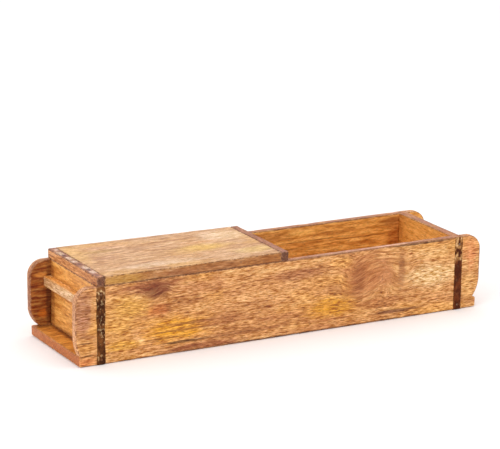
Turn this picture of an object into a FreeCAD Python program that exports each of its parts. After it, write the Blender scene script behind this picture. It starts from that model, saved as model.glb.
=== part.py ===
"""Two-compartment wooden butter mould box with one lift-off half lid.

The box is nailed up from boards.  A base board carries two long side boards, which run past the end
walls as rounded ears.  The end walls and the divider are housed in grooves in the side boards.  A square
handle bar sits between the ears at each end, and an iron strap wraps each end wall's place, down the front,
under the base and up the back.  The lid is a panel with a tongue into a cross-grain cleat at each end, and
two battens below it drop inside the left compartment, so it lifts off but doesn't slide.  Its back edge was
sawn a little out of square.

Frame: millimetres, +X along the box to its right end, +Y to its back, +Z up.
The origin is on the floor at the middle of the box.
"""
import FreeCAD, Part
import os
from FreeCAD import Vector

# ---- overall sizes -------------------------------------------------------------------------------
overall_length = 600.0      # over the tips of the ears
outer_width = 149.0         # over the two side boards
wall_height = 88.0          # of the side boards, end walls and divider, above the base board

# ---- boards --------------------------------------------------------------------------------------
base_thickness = 13.3
base_inset = 5.0            # the base board stops this far short of the ears' tips
side_thickness = 10.0
end_thickness = 12.5
divider_thickness = 10.0
divider_offset = 2.6        # of the divider's middle, to the right of the box's middle
housing_depth = 4.0         # of the grooves that hold the end walls and the divider
eased_edge = 1.0            # rounding of the boards' long edges

# ---- ears ----------------------------------------------------------------------------------------
ear_length = 29.5           # from an end wall's outer face to the ears' tips
ear_top_radius = 20.0
# each ear is cut by hand: how far its foot is cut in, and how far up the cut starts
ear_feet = {
    ("front", "left"): (6.0, 25.0),
    ("front", "right"): (11.0, 30.0),
    ("back", "left"): (14.0, 28.0),
    ("back", "right"): (12.0, 28.0),
}

# ---- handle bars ---------------------------------------------------------------------------------
handle_depth = 10.5         # along the box
handle_height = 13.0
handle_drop = 21.0          # from the top of the walls to the top of the bar

# ---- iron straps ---------------------------------------------------------------------------------
strap_width = 11.5
strap_thickness = 0.8
strap_outward_shift = 1.0   # from the middle of the end wall towards the ears
strap_top_gap = 0.5         # below the top of the walls

# ---- lid -----------------------------------------------------------------------------------------
lid_thickness = 12.2
lid_end_gap = 0.4           # from the divider's middle to the lid's right end
lid_taper = 9.0             # the lid was sawn by hand, and is this much narrower at its right end
cleat_width = 10.5
tongue_thickness = 4.0
tongue_length = 5.0
tongue_stop = 12.0          # the tongue stops this far short of the lid's front and back edges
batten_width = 16.0
batten_height = 8.0
batten_clearance = 1.0      # between a batten and the walls around it

# ---- nails ---------------------------------------------------------------------------------------
shank_radius = 0.8
head_radius = 1.7
head_thickness = 0.7
strap_nail_length = 24.0
strap_nail_margin = 10.0    # below the top of the walls
divider_nail_length = 22.0
divider_nail_count = 3
divider_nail_low = 8.0      # above the base board
divider_nail_margin = 13.0  # below the top of the walls
base_nail_length = 32.0
base_nails_per_side = 6
base_nail_end_gap = 34.0    # from an end wall's inner face to the first nail in a side board
base_nail_cross_gap = 25.0  # from the middle of the box to the nails in the end walls and divider
handle_nail_length = 20.0   # from the inside, through the end wall into the bar
handle_nail_gap = 20.0      # from the middle of the box
batten_nail_length = 15.0
batten_nail_count = 3
batten_nail_end_gap = 12.0

# ---- places worked out from the sizes ------------------------------------------------------------
base_bottom = strap_thickness
base_top = base_bottom + base_thickness
wall_top = base_top + wall_height
ear_tip = overall_length / 2
end_outer = ear_tip - ear_length
end_inner = end_outer - end_thickness
end_middle = end_outer - end_thickness / 2
side_outer = outer_width / 2
side_inner = side_outer - side_thickness
housing_face = side_inner + housing_depth
lid_left = -end_outer
lid_right = divider_offset - lid_end_gap
lid_top = wall_top + lid_thickness
thinnest_board = min(base_thickness, side_thickness, lid_thickness, handle_depth)
touching = 0.01             # two places closer than this are the same
LEFT, RIGHT = -1, 1
FRONT, BACK = -1, 1


def block(x, y, z):
    """A box from three (low, high) pairs, in any order."""
    low = Vector(min(x), min(y), min(z))
    size = [max(v) - min(v) for v in (x, y, z)]
    return Part.makeBox(size[0], size[1], size[2], low)


def on_either(value, first, second):
    return min(abs(value - first), abs(value - second)) < touching


def eased(solid, wanted):
    """The solid with the edges rounded whose middle point passes the test."""
    radius = min(eased_edge, thinnest_board / 4)
    edges = [e for e in solid.Edges if wanted(e.valueAt((e.FirstParameter + e.LastParameter) / 2))]
    return solid.makeFillet(radius, edges)


def nail(point, direction, length):
    """A round-headed nail whose head lies outside point and whose shank runs along direction."""
    way = Vector(direction).normalize()
    shank = Part.makeCylinder(shank_radius, length, Vector(point), way)
    head = Part.makeCylinder(head_radius, head_thickness, Vector(point), way * -1)
    return shank.fuse(head).removeSplitter()


def sunk_nail(point, direction, length):
    """A nail driven in until its head is flush with the face at point."""
    way = Vector(direction).normalize()
    return nail(Vector(point) + way * head_thickness, direction, length - head_thickness)


def evenly(low, high, count):
    return [low + (high - low) * i / (count - 1) for i in range(count)]


# ---- boards of the box ---------------------------------------------------------------------------
def foot_arc(side, end):
    """The hand-cut lower corner of an ear: from its foot to where its tip is upright again."""
    inset, rise = ear_feet[side, "left" if end == LEFT else "right"]
    radius = (inset ** 2 + rise ** 2) / (2 * inset)
    centre = Vector(end * (ear_tip - radius), 0, base_top + rise)
    foot = Vector(end * (ear_tip - inset), 0, base_top)
    tip = Vector(end * ear_tip, 0, base_top + rise)
    middle = centre + ((foot + tip) * 0.5 - centre).normalize() * radius
    return foot, middle, tip


def top_arc(end):
    """The rounded upper corner of an ear: from its tip to the top edge."""
    centre = Vector(end * (ear_tip - ear_top_radius), 0, wall_top - ear_top_radius)
    tip = centre + Vector(end * ear_top_radius, 0, 0)
    top = centre + Vector(0, 0, ear_top_radius)
    middle = centre + ((tip + top) * 0.5 - centre).normalize() * ear_top_radius
    return tip, middle, top


def side_wall(side):
    """A long side board with an ear at each end and grooves for the end walls and the divider."""
    name = "front" if side == FRONT else "back"
    left_foot, left_bend, left_tip = foot_arc(name, LEFT)
    right_foot, right_bend, right_tip = foot_arc(name, RIGHT)
    left_shoulder, left_crown, left_top = top_arc(LEFT)
    right_shoulder, right_crown, right_top = top_arc(RIGHT)
    outline = Part.Wire([
        Part.LineSegment(left_foot, right_foot).toShape(),
        Part.Arc(right_foot, right_bend, right_tip).toShape(),
        Part.LineSegment(right_tip, right_shoulder).toShape(),
        Part.Arc(right_shoulder, right_crown, right_top).toShape(),
        Part.LineSegment(right_top, left_top).toShape(),
        Part.Arc(left_top, left_crown, left_shoulder).toShape(),
        Part.LineSegment(left_shoulder, left_tip).toShape(),
        Part.Arc(left_tip, left_bend, left_foot).toShape(),
    ])
    inner_y = side * side_inner
    outer_y = side * side_outer
    board = Part.Face(outline).extrude(Vector(0, outer_y - inner_y, 0))
    board.translate(Vector(0, inner_y, 0))
    board = eased(board, lambda p: p.z > base_top + eased_edge and on_either(p.y, inner_y, outer_y))
    for middle, thickness in housed_boards():
        half = thickness / 2
        groove = block((middle - half, middle + half), (inner_y, side * housing_face), (base_top, wall_top))
        board = board.cut(groove)
    return board


def housed_boards():
    """Middle and thickness of each cross board, from left to right."""
    return [(-end_middle, end_thickness), (divider_offset, divider_thickness), (end_middle, end_thickness)]


def cross_board(middle, thickness):
    half = thickness / 2
    return block((middle - half, middle + half), (-housing_face, housing_face), (base_top, wall_top))


def base_board():
    reach = ear_tip - base_inset
    board = block((-reach, reach), (-side_outer, side_outer), (base_bottom, base_top))
    return eased(board, lambda p: on_either(p.x, -reach, reach) and abs(p.y) < side_inner)


def handle_bar(end):
    top = wall_top - handle_drop
    bar = block((end * end_outer, end * (end_outer + handle_depth)), (-side_inner, side_inner),
                (top - handle_height, top))
    outer_x = end_outer + handle_depth
    return eased(bar, lambda p: on_either(p.x, -outer_x, outer_x) and abs(p.y) < side_inner / 2)


def strap(end):
    """A flat iron band bent into a U round the base and both side boards."""
    middle = end * (end_middle + strap_outward_shift)
    span = (middle - strap_width / 2, middle + strap_width / 2)
    outer_y = side_outer + strap_thickness
    top = wall_top - strap_top_gap
    band = block(span, (-outer_y, outer_y), (0, top))
    corners = [e for e in band.Edges if on_either(e.CenterOfMass.y, -outer_y, outer_y)]
    bends = [e for e in corners if e.CenterOfMass.z < touching]
    band = band.makeFillet(strap_thickness, bends)
    return band.cut(block(span, (-side_outer, side_outer), (base_bottom, top)))


# ---- lid -----------------------------------------------------------------------------------------
def lid_back(x):
    """Y of the lid's slanted back edge at a place along the box."""
    return side_outer - lid_taper * (x - lid_left) / (lid_right - lid_left)


def lid_board(span):
    """The part of the lid between two places along the box, with the slanted back edge."""
    low, high = min(span), max(span)
    corners = [(low, -side_outer), (high, -side_outer), (high, lid_back(high)), (low, lid_back(low))]
    outline = Part.makePolygon([Vector(x, y, wall_top) for x, y in corners + corners[:1]])
    return Part.Face(outline).extrude(Vector(0, 0, lid_thickness))


def tongue(end):
    """The stub on a panel end that the cleat's groove takes, end being LEFT or RIGHT."""
    shoulder = lid_left + cleat_width if end == LEFT else lid_right - cleat_width
    middle = (wall_top + lid_top) / 2
    front, back = tongue_stop - side_outer, lid_back(shoulder) - tongue_stop
    return block((shoulder, shoulder + end * tongue_length), (front, back),
                 (middle - tongue_thickness / 2, middle + tongue_thickness / 2))


def lid_panel():
    low, high = lid_left + cleat_width, lid_right - cleat_width
    panel = lid_board((low, high))
    panel = eased(panel, lambda p: p.z > lid_top - touching and low + touching < p.x < high - touching)
    return panel.fuse([tongue(LEFT), tongue(RIGHT)]).removeSplitter()


def lid_cleat(end):
    outer_x = lid_left if end == LEFT else lid_right
    cleat = lid_board((outer_x, outer_x - end * cleat_width))
    cleat = eased(cleat, lambda p: p.z > lid_top - touching and abs(p.x - outer_x) < touching)
    return cleat.cut(tongue(end))


def batten_span(end):
    """The (low, high) x of a batten, which clears the end wall or the divider beside it."""
    if end == LEFT:
        low = -end_inner + batten_clearance
        return low, low + batten_width
    high = divider_offset - divider_thickness / 2 - batten_clearance
    return high - batten_width, high


def lid_batten(end):
    reach = side_inner - batten_clearance
    return block(batten_span(end), (-reach, reach), (wall_top - batten_height, wall_top))


# ---- nails ---------------------------------------------------------------------------------------
def strap_nails(end):
    """Nails through a strap, two on the front and two on the back: into the base and the end wall."""
    x = end * (end_middle + strap_outward_shift)
    heights = (base_bottom + base_thickness / 2, wall_top - strap_nail_margin)
    face = side_outer + strap_thickness
    return [nail((x, side * face, z), (0, -side, 0), strap_nail_length)
            for side in (FRONT, BACK) for z in heights]


def divider_nails():
    heights = evenly(base_top + divider_nail_low, wall_top - divider_nail_margin, divider_nail_count)
    return [sunk_nail((divider_offset, side * side_outer, z), (0, -side, 0), divider_nail_length)
            for side in (FRONT, BACK) for z in heights]


def base_nails():
    """Nails up through the base board into the side boards, the end walls and the divider."""
    reach = end_inner - base_nail_end_gap
    side_middle = (side_outer + side_inner) / 2
    along = evenly(-reach, reach, base_nails_per_side)
    places = [(x, side * side_middle) for side in (FRONT, BACK) for x in along]
    places += [(x, side * base_nail_cross_gap) for x, _ in housed_boards() for side in (FRONT, BACK)]
    return [sunk_nail((x, y, base_bottom), (0, 0, 1), base_nail_length) for x, y in places]


def handle_nails(end):
    """Nails from inside the box through an end wall into its handle bar."""
    z = wall_top - handle_drop - handle_height / 2
    return [sunk_nail((end * end_inner, side * handle_nail_gap, z), (end, 0, 0), handle_nail_length)
            for side in (FRONT, BACK)]


def batten_nails():
    reach = side_inner - batten_clearance - batten_nail_end_gap
    middles = [sum(batten_span(end)) / 2 for end in (LEFT, RIGHT)]
    return [sunk_nail((x, y, wall_top - batten_height), (0, 0, 1), batten_nail_length)
            for x in middles for y in evenly(-reach, reach, batten_nail_count)]


# ---- the whole object ----------------------------------------------------------------------------
boards = {
    "base_board": base_board(),
    "front_wall": side_wall(FRONT),
    "back_wall": side_wall(BACK),
    "left_end_wall": cross_board(-end_middle, end_thickness),
    "right_end_wall": cross_board(end_middle, end_thickness),
    "divider": cross_board(divider_offset, divider_thickness),
    "left_handle_bar": handle_bar(LEFT),
    "right_handle_bar": handle_bar(RIGHT),
    "left_strap": strap(LEFT),
    "right_strap": strap(RIGHT),
    "lid_panel": lid_panel(),
    "lid_left_cleat": lid_cleat(LEFT),
    "lid_right_cleat": lid_cleat(RIGHT),
    "lid_left_batten": lid_batten(LEFT),
    "lid_right_batten": lid_batten(RIGHT),
}
nails = {
    "left_strap_nails": strap_nails(LEFT),
    "right_strap_nails": strap_nails(RIGHT),
    "divider_nails": divider_nails(),
    "base_nails": base_nails(),
    "left_handle_nails": handle_nails(LEFT),
    "right_handle_nails": handle_nails(RIGHT),
    "lid_batten_nails": batten_nails(),
}
all_nails = [one for group in nails.values() for one in group]

os.makedirs("parts", exist_ok=True)
for name, board in boards.items():
    near = [one for one in all_nails if one.BoundBox.intersect(board.BoundBox)]
    drilled = board.cut(near) if near else board
    drilled.exportStep(f"parts/{name}.step")
    print(f"{name}: {len(drilled.Solids)} solid, {drilled.Volume / 1000:.1f} cm3, valid {drilled.isValid()}")
for name, group in nails.items():
    Part.makeCompound(group).exportStep(f"parts/{name}.step")
    print(f"{name}: {len(group)} nails")
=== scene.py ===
# %% [markdown]
# # A long wooden mold box, rebuilt board by board
# The box is nailed together from old mango wood boards. Two long side boards stand on a base board
# and run on past the end boards as rounded ears, with a square handle bar between them. Iron straps
# wrap both ends, and a lid with dark end cleats covers the left half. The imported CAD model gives
# every size and place. Each board here replaces its plain CAD solid with a mesh that has softened
# edges, small dents and wood all through.

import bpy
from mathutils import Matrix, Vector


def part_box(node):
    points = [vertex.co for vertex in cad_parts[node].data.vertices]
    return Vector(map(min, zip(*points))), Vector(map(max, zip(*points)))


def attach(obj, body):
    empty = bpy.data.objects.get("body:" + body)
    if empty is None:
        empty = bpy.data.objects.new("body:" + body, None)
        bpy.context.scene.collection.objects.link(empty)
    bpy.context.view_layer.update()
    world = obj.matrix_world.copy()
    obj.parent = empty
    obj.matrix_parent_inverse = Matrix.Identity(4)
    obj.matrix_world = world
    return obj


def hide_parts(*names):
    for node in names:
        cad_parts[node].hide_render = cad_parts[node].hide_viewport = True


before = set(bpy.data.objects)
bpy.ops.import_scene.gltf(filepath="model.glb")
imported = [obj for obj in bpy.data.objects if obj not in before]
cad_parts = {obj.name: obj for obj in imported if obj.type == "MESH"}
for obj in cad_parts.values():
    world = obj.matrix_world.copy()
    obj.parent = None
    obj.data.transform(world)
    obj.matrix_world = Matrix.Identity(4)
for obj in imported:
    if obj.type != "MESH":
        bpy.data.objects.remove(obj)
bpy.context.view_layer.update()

# %% [markdown]
# ## Working units
# Wood is thought of in millimetres, so the meshes are worked out in millimetres and turned into
# metres once, when they become Blender objects. The boards' places are read from the frame.

# %% Modules, units and the places of the boards
import math

import bpy
import numpy as np
from mathutils import Euler, Matrix, Vector

MM = 0.001


def node_box(node):
    """A CAD node's lowest and highest corners, in millimetres."""
    low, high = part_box(node)
    return np.array(low) / MM, np.array(high) / MM


wall_low, wall_high = node_box("front_wall")
end_low, end_high = node_box("left_end_wall")
lid_low, lid_high = node_box("lid_panel")
tip = wall_high[0]                  # of the ears
base_top, wall_top = wall_low[2], wall_high[2]
side_outer, side_inner = -wall_low[1], -wall_high[1]
housing_face = end_high[1]          # how deep the grooves in the side boards go
end_outer, end_inner = -end_low[0], -end_high[0]
print(f"side boards {2 * tip:.0f} mm long, {wall_top - base_top:.0f} mm high")

# %% [markdown]
# ## Random numbers that repeat
# Old boards are never quite straight. Smooth noise gives that: random values on a lattice, blended
# between the lattice points. A hash of the lattice point stands in for the random draw, so a run
# always gives the same box.

# %% Smooth noise
def noise(points, size, seed):
    """Smooth random values from -1 to 1 at the points, with bumps of about the given size in millimetres."""
    places = points / np.asarray(size, float) + seed * 17.31
    cell = np.floor(places).astype(np.int64)
    part = places - cell
    part = part * part * (3 - 2 * part)
    total = np.zeros(len(points))
    for corner in np.ndindex(2, 2, 2):
        x, y, z = (cell + corner).T
        code = (x * 374761393 + y * 668265263 + z * 1442695041 + seed * 97) & 0xFFFFFFFF
        code = ((code ^ (code >> 13)) * 1274126177) & 0xFFFFFFFF
        value = ((code ^ (code >> 16)) & 0xFFFF) / 32767.5 - 1
        total += value * np.prod(np.where(corner, part, 1 - part), axis=1)
    return total


steps = np.array([[0.0, 0, 0], [5.0, 0, 0], [10.0, 0, 0]])
print("10 mm bumps, every 5 mm:", noise(steps, 10, 1).round(2))

# %% [markdown]
# ## The skin of a board
# A board is the skin of a box, gridded finely enough to take dents. Every point knows the nearest
# point of a smaller core box, and is pushed out from it by the edge's radius: on a face that changes
# nothing, and at an edge it makes a round. Letting the radius wander and jump makes the uneven,
# chipped edges of old wood. The grid is closer at the edges, where the round needs it.

# %% Grid lines and the skin
def grid_lines(low, high, step, band, extra=()):
    """Places of the grid lines along one side of a board."""
    count = max(2, round((high - low - 2 * band) / step))
    rounds = band * np.array([0, 0.22, 0.55])
    places = [low + rounds, high - rounds, np.linspace(low + band, high - band, count + 1), extra]
    return np.unique(np.round(np.concatenate(places), 4))


def skin(xs, ys, zs):
    """Points and outward quads of a box's skin, gridded at the given places."""
    inside = np.zeros((len(xs), len(ys), len(zs)), bool)
    inside[1:-1, 1:-1, 1:-1] = True
    number = np.full(inside.shape, -1)
    number[~inside] = np.arange((~inside).sum())
    i, j, k = np.nonzero(~inside)

    def quads(side, turned):
        ring = np.stack([side[:-1, :-1], side[1:, :-1], side[1:, 1:], side[:-1, 1:]], -1).reshape(-1, 4)
        return ring[:, ::-1] if turned else ring

    faces = [quads(number[0], True), quads(number[-1], False),
             quads(number[:, 0], False), quads(number[:, -1], True),
             quads(number[:, :, 0], True), quads(number[:, :, -1], False)]
    return np.stack([xs[i], ys[j], zs[k]], 1), np.concatenate(faces)


print(len(grid_lines(0, 100, 5, 2)), "grid lines, 5 mm apart or closer, along a side of 100 mm")

# %% [markdown]
# ## A worn board
# The mesh carries three values for its material: how far a point is from the nearest edge, whether it
# is on a narrow side, and whether it is on end grain. The material reads them by name, so the wear in
# the colour sits exactly where the wear in the shape is.

# %% Build a worn board
EDGE_BAND = 2.6            # the widest strip along an edge that gets the close grid lines, in millimetres
FAR_FROM_EDGE = 20.0       # the "edge" value stops here, where nothing shows any more
SIDE_FADE = 0.5            # how fast the "rim" and "end" values fade into the broad face, in millimetres
GRAIN_STRETCH = 5.0        # dents are this many times longer along the grain than across it


def as_object(name, points, faces, values):
    """A Blender object from points in millimetres, with named values at its points."""
    mesh = bpy.data.meshes.new(name)
    mesh.from_pydata((points * MM).tolist(), [], faces.tolist())
    mesh.polygons.foreach_set("use_smooth", np.ones(len(mesh.polygons), bool))
    for key, value in values.items():
        mesh.attributes.new(key, "FLOAT", "POINT").data.foreach_set("value", value.astype(np.float32))
    made = bpy.data.objects.new(name, mesh)
    bpy.context.scene.collection.objects.link(made)
    return made


def worn_board(name, low, high, grain, seed, radius=1.0, chips=1.0, step=2.4, wave=0.22, extra=(), shape=None,
               joined=None):
    """A board between two corners, its grain along axis 0 (X) or 1 (Y), with worn edges and a wavy surface.
    radius may be a function of the points. shape is a function that bends the finished points, and joined one
    that tells which points lie at a tight joint, where nothing is worn."""
    low, high = np.asarray(low, float), np.asarray(high, float)
    size = high - low
    band = min(EDGE_BAND, size.min() / 3)
    lines = [grid_lines(low[a], high[a], step, band, extra if a == 0 else ()) for a in range(3)]
    points, faces = skin(*lines)
    depth = np.minimum(points - low, high - points)
    two_nearest = np.sort(depth, axis=1)
    thin = int(np.argmin(size))
    rim = np.delete(depth, thin, axis=1).min(axis=1)
    kept = joined(points) if joined else np.zeros(len(points), bool)
    from_edge = np.minimum(two_nearest[:, 1], FAR_FROM_EDGE)
    values = {"edge": np.where(kept, FAR_FROM_EDGE, from_edge),
              "rim": np.where(kept, 0, np.exp(-rim / SIDE_FADE)),
              "end": np.exp(-depth[:, grain] / SIDE_FADE)}

    along = np.ones(3)
    along[grain] = GRAIN_STRETCH
    base = radius(points) if callable(radius) else radius
    large = 4.2 * np.clip(noise(points, 11, seed) - 0.42, 0, 1)
    small = 2.2 * np.clip(noise(points, 3.5, seed + 1) - 0.6, 0, 1)
    local = base * (1 + 0.45 * noise(points, 26, seed + 2) + chips * (large + small))
    local = np.clip(local, 0.15, band)[:, None]
    core = np.clip(points, low + local, high - local)
    outward = points - core
    outward /= np.maximum(np.linalg.norm(outward, axis=1), 1e-9)[:, None]
    dents = wave * noise(points, 70, seed + 3) + 0.35 * wave * noise(points, 5 * along, seed + 4)
    points = core + outward * (local + dents[:, None])
    if shape:
        points = shape(points)
    return as_object(name, points, faces, values)


print("edge values end", FAR_FROM_EDGE, "mm from an edge")

# %% [markdown]
# ## Nodes in few words
# A material is a tree of nodes. These helpers add one node, or blend two colours, so that a recipe
# for wood can be read from top to bottom. A socket given as an input becomes a link, and anything
# else becomes its value.

# %% Node helpers
def colour(red, green, blue):
    """A colour as it looks on a screen, 0 to 255, as the linear values that Blender works in."""
    shares = (red / 255, green / 255, blue / 255)
    linear = [c / 12.92 if c <= 0.04045 else ((c + 0.055) / 1.055) ** 2.4 for c in shares]
    return (*linear, 1.0)


def add(tree, kind, inputs=None, **settings):
    node = tree.nodes.new(kind)
    for key, value in settings.items():
        setattr(node, key, value)
    for key, value in (inputs or {}).items():
        if isinstance(value, bpy.types.NodeSocket):
            tree.links.new(value, node.inputs[key])
        else:
            node.inputs[key].default_value = value
    return node


def math_node(tree, operation, first, second=0.0, clamp=False):
    return add(tree, "ShaderNodeMath", {0: first, 1: second}, operation=operation, use_clamp=clamp).outputs[0]


def vector_node(tree, operation, first, second=(0, 0, 0)):
    inputs = {0: first, 1: second}
    return add(tree, "ShaderNodeVectorMath", inputs, operation=operation).outputs[0]


def resized(tree, vector, factor):
    """A vector made longer or shorter by a factor."""
    inputs = {0: vector, "Scale": factor}
    return add(tree, "ShaderNodeVectorMath", inputs, operation="SCALE").outputs[0]


def in_millimetres(tree):
    """The place of the shaded point, in millimetres in the object's own frame."""
    return resized(tree, add(tree, "ShaderNodeTexCoord").outputs["Object"], 1 / MM)


def blend(tree, under, over, mask, mode="MIX"):
    """The colour under with the colour over laid on it where the mask is 1."""
    node = add(tree, "ShaderNodeMix", {0: mask, 6: under, 7: over}, data_type="RGBA", blend_type=mode)
    return node.outputs[2]


def remap(tree, value, low, high, to_low=0.0, to_high=1.0, smooth=True):
    kind = "SMOOTHSTEP" if smooth else "LINEAR"
    names = {"Value": value, "From Min": low, "From Max": high, "To Min": to_low, "To Max": to_high}
    return add(tree, "ShaderNodeMapRange", names, interpolation_type=kind, clamp=True).outputs[0]


def new_group(name, inputs, outputs):
    """An empty shader group with the given sockets, and its input and output nodes."""
    group = bpy.data.node_groups.new(name, "ShaderNodeTree")
    for key, (kind, default) in inputs.items():
        group.interface.new_socket(key, in_out="INPUT", socket_type=kind).default_value = default
    for key, kind in outputs.items():
        group.interface.new_socket(key, in_out="OUTPUT", socket_type=kind)
    return group, group.nodes.new("NodeGroupInput").outputs, group.nodes.new("NodeGroupOutput").inputs


def stretched(tree, vector, scale, detail=2.0, roughness=0.5):
    """Noise over a vector in millimetres, scaled differently along each axis."""
    scaled = vector_node(tree, "MULTIPLY", vector, scale)
    inputs = {"Vector": scaled, "Scale": 1.0, "Detail": detail, "Roughness": roughness}
    return add(tree, "ShaderNodeTexNoise", inputs).outputs["Fac"]


print("a screen's middle grey is", round(colour(128, 128, 128)[0], 3), "in linear light")


# %% [markdown]
# ## The grain of the wood
# Wood is a bundle of fibres, so every pattern in it is a noise drawn out along the board: broad
# streaks from the seasons' growth, ripples where the fibres weave from side to side, fine ticks and
# fibres, and the pores, which are short dark dashes. One group makes them all from a position in
# millimetres with the grain along its X. Because the pattern fills space, the ends of a board show
# the same streaks end on, as dots and arcs.

# %% Group: wood grain
# how often each pattern repeats per millimetre, along the grain and twice across it
SWAY = (0.011, 0.028, 0.028)
STREAKS = (0.011, 0.12, 0.12)
RIPPLES = (0.045, 0.26, 0.26)
TICKS = (0.12, 0.84, 0.84)
FIBRES = (0.07, 1.1, 1.1)
DASHES = (0.2, 1.5, 1.5)
RINGS_STRETCH = (0.04, 1.0, 1.0)
SEED_STEPS = (137.0, 71.0, 43.0)   # how far apart in the pattern two boards are cut, in millimetres
MID = (0.5, 0.5, 0.5)              # the middle value of a colour noise


def make_grain_group():
    inputs = {"Vector": ("NodeSocketVector", (0, 0, 0)),
              "Seed": ("NodeSocketFloat", 0.0),
              "Warp": ("NodeSocketFloat", 3.5)}
    names = ("Streak", "Ripple", "Fine", "Fibre", "Pore", "Ring", "Height")
    outputs = {name: "NodeSocketFloat" for name in names}
    group, source, result = new_group("Wood grain", inputs, outputs)
    steps = [math_node(group, "MULTIPLY", source["Seed"], step) for step in SEED_STEPS]
    shift = add(group, "ShaderNodeCombineXYZ", dict(enumerate(steps))).outputs[0]
    place = vector_node(group, "ADD", source["Vector"], shift)
    slow = vector_node(group, "MULTIPLY", place, SWAY)
    sway_inputs = {"Vector": slow, "Scale": 1.0, "Detail": 2.0}
    sway = add(group, "ShaderNodeTexNoise", sway_inputs).outputs["Color"]
    push = resized(group, vector_node(group, "SUBTRACT", sway, MID), source["Warp"])
    bent = vector_node(group, "ADD", place, push)

    streak = stretched(group, bent, STREAKS, 4.0, 0.6)
    ripple = stretched(group, bent, RIPPLES, 4.0, 0.65)
    tick = math_node(group, "SUBTRACT", stretched(group, bent, TICKS, 2.0, 0.6), 0.5)
    fibre = stretched(group, bent, FIBRES, 2.0, 0.6)
    pore = remap(group, stretched(group, bent, DASHES, 1.0, 0.4), 0.60, 0.70)
    pith = vector_node(group, "MULTIPLY", bent, RINGS_STRETCH)
    waves = {"Vector": pith, "Scale": 0.055, "Distortion": 3.0, "Detail": 2.0, "Detail Scale": 0.6}
    ring_node = add(group, "ShaderNodeTexWave", waves, wave_type="RINGS", rings_direction="X")
    thread = math_node(group, "SUBTRACT", fibre, 0.5)
    fine = math_node(group, "ADD", tick, math_node(group, "MULTIPLY", thread, 0.5))
    raised = math_node(group, "ADD", fine, math_node(group, "MULTIPLY", ripple, 0.6))
    height = math_node(group, "SUBTRACT", raised, math_node(group, "MULTIPLY", pore, 0.7))
    made = (streak, ripple, fine, fibre, pore, ring_node.outputs["Fac"], height)
    for name, socket in zip(names, made):
        group.links.new(socket, result[name])
    return group


grain_group = make_grain_group()
print("grain outputs:", [s.name for s in grain_group.nodes["Group Output"].inputs if s.name])

# %% [markdown]
# ## Wear at the edges
# Hands rub varnish off an edge and dirt stays beside it. The group reads the board's own "edge" value
# and lets noise decide how far in the wear reaches, which gives broken patches and not an even
# outline.

# %% Group: edge wear
WEAR_PATCHES = (0.05, 0.09, 0.09)
WEAR_CRUMBS = (0.25, 0.4, 0.4)
LINE_START, LINE_END = 0.7, 1.9    # where the line of dirt beside an edge is thickest, and where it ends
SHARP_EDGE = 0.05                  # wear that is always there, so that nothing is divided by zero


def make_wear_group():
    inputs = {"Vector": ("NodeSocketVector", (0, 0, 0)),
              "Reach": ("NodeSocketFloat", 1.5),
              "Seed": ("NodeSocketFloat", 0.0)}
    outputs = {"Worn": "NodeSocketFloat", "Line": "NodeSocketFloat"}
    group, source, result = new_group("Edge wear", inputs, outputs)
    edge = add(group, "ShaderNodeAttribute", attribute_name="edge").outputs["Fac"]
    place = vector_node(group, "ADD", source["Vector"], source["Seed"])
    patches = remap(group, stretched(group, place, WEAR_PATCHES, 3.0, 0.7), 0.36, 0.66)
    reach = math_node(group, "ADD", math_node(group, "MULTIPLY", patches, source["Reach"]), SHARP_EDGE)
    worn = math_node(group, "SUBTRACT", 1.0, math_node(group, "DIVIDE", edge, reach), True)
    crumbs = remap(group, stretched(group, place, WEAR_CRUMBS, 2.0, 0.6), 0.38, 0.60)
    beside = remap(group, edge, LINE_START, LINE_END, 1.0, 0.0)
    group.links.new(worn, result["Worn"])
    group.links.new(math_node(group, "MULTIPLY", beside, crumbs), result["Line"])
    return group


wear_group = make_wear_group()
print("wear group:", len(wear_group.nodes), "nodes")

# %% [markdown]
# ## Marks with a place
# Stains, knots, pale or golden patches, painted shade and painted light sit at certain places on a
# board. The group gives a soft oval with a ragged outline, drawn out along the grain.

# %% Group: soft spot
SPOT_OUTLINE = (0.04, 0.2, 0.2)
SPOT_FULL, SPOT_GONE = 0.35, 1.15  # shares of a spot's size where its colour is full, and where it ends


def make_spot_group():
    inputs = {"Vector": ("NodeSocketVector", (0, 0, 0)), "Grain": ("NodeSocketVector", (0, 0, 0)),
              "Centre": ("NodeSocketVector", (0, 0, 0)), "Size": ("NodeSocketVector", (20, 20, 20)),
              "Ragged": ("NodeSocketFloat", 0.6)}
    group, source, result = new_group("Soft spot", inputs, {"Mask": "NodeSocketFloat"})
    away = vector_node(group, "SUBTRACT", source["Vector"], source["Centre"])
    share = vector_node(group, "DIVIDE", away, source["Size"])
    reach = add(group, "ShaderNodeVectorMath", {0: share}, operation="LENGTH").outputs["Value"]
    rough = math_node(group, "SUBTRACT", stretched(group, source["Grain"], SPOT_OUTLINE, 4.0, 0.7), 0.5)
    shifted = math_node(group, "MULTIPLY", rough, source["Ragged"])
    mask = remap(group, math_node(group, "ADD", reach, shifted), SPOT_FULL, SPOT_GONE, 1.0, 0.0)
    group.links.new(mask, result["Mask"])
    return group


spot_group = make_spot_group()
print("spot inputs:", [s.name for s in spot_group.nodes["Group Input"].outputs if s.name])

# %% [markdown]
# ## One recipe for all the wood
# All boards come from the same kind of tree, so one recipe makes every wood here. First comes the bare
# wood. The grain is turned to run along the board and round its swirls, a colour ramp gives the
# streaked body three tones, and broad noise tints some stretches of it. The narrow sides and the end
# grain drink more dirt and oil than a broad face, so they have colours of their own.

# %% Bare wood
SWIRL_CALM = 0.5                   # what is left of the ticks in the middle of a swirl
RIPPLE_SHARE = 0.42                # of the body's pattern, the rest being streaks
RIM_PATCHES = (0.04, 0.12, 0.12)


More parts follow.
